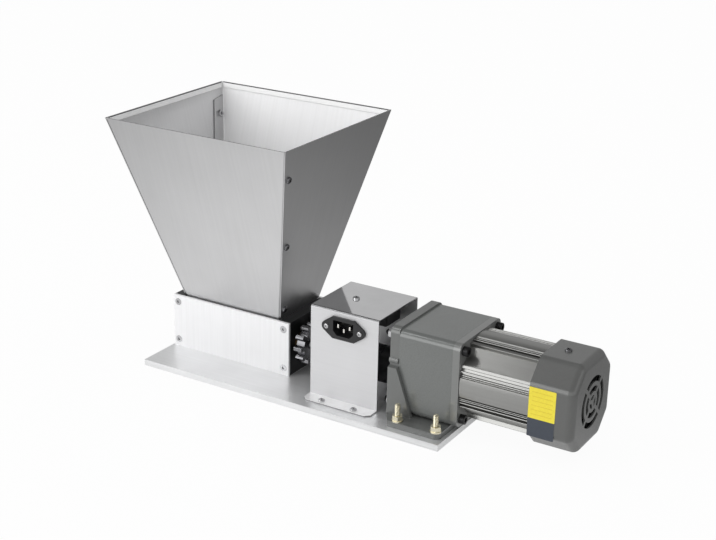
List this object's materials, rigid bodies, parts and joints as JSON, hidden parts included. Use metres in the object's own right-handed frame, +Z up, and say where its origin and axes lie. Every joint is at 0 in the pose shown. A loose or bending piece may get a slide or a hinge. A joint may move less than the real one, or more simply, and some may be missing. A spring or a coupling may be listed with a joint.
{
  "type": "malt mill",
  "caption": "Motor-driven two-roller malt mill with a tapered sheet-metal hopper, spur gears, a covered shaft coupling and a geared electric motor on a base plate.",
  "frame": {"origin": "centre of the base plate's underside", "axes": "+X from the mill to the motor, +Y to the rear, +Z up"},
  "size_m": [0.5343, 0.207, 0.2795],
  "materials": {
    "base_aluminium": "fine mill finish, sawn edges",
    "cheek_aluminium": "bright, finely brushed",
    "end_plate_steel": "steel, black oxide",
    "roller_steel": "hardened, fluted",
    "gear_steel": "machined, lightly oiled",
    "bush_bronze": "sintered bronze, oiled",
    "hopper_steel": "brushed stainless sheet",
    "cover_steel": "polished stainless sheet",
    "screw_steel": "bright zinc plated",
    "inlet_plastic": "black, satin moulding",
    "pin_metal": "nickel plated",
    "capacitor_plastic": "black, plain",
    "coupling_steel": "steel, turned and blackened",
    "spider_rubber": "black elastomer",
    "black_steel": "black oxide",
    "bracket_casting": "grey, smooth casting",
    "yellow_zinc": "steel, yellow zinc plated",
    "nut_steel": "zinc plated",
    "case_casting": "grey, satin paint",
    "body_aluminium": "extruded, satin",
    "shaft_steel": "ground",
    "bearing_steel": "polished rings",
    "core_steel": "stacked sheet",
    "winding_copper": "enamelled copper",
    "fan_plastic": "black, plain",
    "cap_paint": "grey, satin",
    "grommet_rubber": "black"
  },
  "bodies": {
    "frame": {"base_plate": "base_aluminium", "capacitor": "capacitor_plastic", "coupling_cover": "cover_steel", "cover_screws": "screw_steel", "drive_bushes": "bush_bronze", "end_shield": "case_casting", "fan_cover": "cap_paint", "fan_cover_screws": "screw_steel", "foot_bolts": "yellow_zinc", "foot_nuts": "yellow_zinc", "foot_washers": "yellow_zinc", "gear_case": "case_casting", "gear_partition": "case_casting", "hopper_front": "hopper_steel", "hopper_left": "hopper_steel", "hopper_nuts": "screw_steel", "hopper_rear": "hopper_steel", "hopper_right": "hopper_steel", "hopper_screws": "screw_steel", "inlet_body": "inlet_plastic", "inlet_nuts": "screw_steel", "inlet_pins": "pin_metal", "inlet_screws": "screw_steel", "layshaft_bearings": "bearing_steel", "lead_grommet": "grommet_rubber", "mill_foot_screws": "screw_steel", "mill_front_plate": "cheek_aluminium", "mill_left_plate": "end_plate_steel", "mill_plate_screws": "screw_steel", "mill_rear_plate": "cheek_aluminium", "mill_right_plate": "end_plate_steel", "motor_bearings": "bearing_steel", "motor_body": "body_aluminium", "motor_bracket": "bracket_casting", "motor_flange": "case_casting", "output_bearings": "bearing_steel", "stator_core": "core_steel", "stator_windings": "winding_copper", "through_bolts": "black_steel", "through_nuts": "nut_steel"},
    "drive_line": {"drive_roller": "roller_steel", "drive_gear": "gear_steel", "mill_coupling_hub": "coupling_steel", "motor_coupling_hub": "coupling_steel", "coupling_spider": "spider_rubber", "coupling_set_screws": "black_steel", "output_shaft": "shaft_steel", "output_gear": "shaft_steel"},
    "idler_carriage": {"left_bearing_block": "end_plate_steel", "right_bearing_block": "end_plate_steel", "idler_bushes": "bush_bronze"},
    "idler": {"idler_roller": "roller_steel", "idler_gear": "gear_steel"},
    "left_adjuster": {"left_gap_screw": "screw_steel"},
    "right_adjuster": {"right_gap_screw": "screw_steel"},
    "layshaft_line": {"layshaft": "shaft_steel", "layshaft_gear": "shaft_steel"},
    "rotor": {"rotor_core": "core_steel", "motor_shaft": "shaft_steel", "fan": "fan_plastic"}
  },
  "joints": [
    {"name": "drive_spin", "type": "hinge", "parent": "frame", "child": "drive_line", "pos_m": [0, 0, 0.041], "axis": [1, 0, 0], "continuous": true},
    {"name": "gap_slide", "type": "slide", "parent": "frame", "child": "idler_carriage", "axis": [0, 1, 0], "range_m": [-0.0004, 0.0008]},
    {"name": "idler_spin", "type": "hinge", "parent": "idler_carriage", "child": "idler", "pos_m": [0, 0.04, 0.041], "axis": [1, 0, 0], "continuous": true},
    {"name": "left_gap_turn", "type": "hinge", "parent": "frame", "child": "left_adjuster", "pos_m": [-0.177, 0.064, 0.041], "axis": [0, -1, 0], "range_deg": [-144.5, 288.5]},
    {"name": "right_gap_turn", "type": "hinge", "parent": "frame", "child": "right_adjuster", "pos_m": [-0.0345, 0.064, 0.041], "axis": [0, -1, 0], "range_deg": [-144.5, 288.5]},
    {"name": "layshaft_spin", "type": "hinge", "parent": "frame", "child": "layshaft_line", "pos_m": [0.14, 0.02028, 0.05384], "axis": [1, 0, 0], "continuous": true},
    {"name": "rotor_spin", "type": "hinge", "parent": "frame", "child": "rotor", "pos_m": [0.23, 0, 0.0593], "axis": [1, 0, 0], "continuous": true}
  ],
  "couplings": [
    {"joint": "idler_spin", "follows": "drive_spin", "ratio": -1},
    {"joint": "layshaft_spin", "follows": "drive_spin", "ratio": -3},
    {"joint": "rotor_spin", "follows": "drive_spin", "ratio": 7.5},
    {"joint": "left_gap_turn", "follows": "gap_slide", "rad_per_m": 6283.2},
    {"joint": "right_gap_turn", "follows": "gap_slide", "rad_per_m": 6283.2}
  ]
}
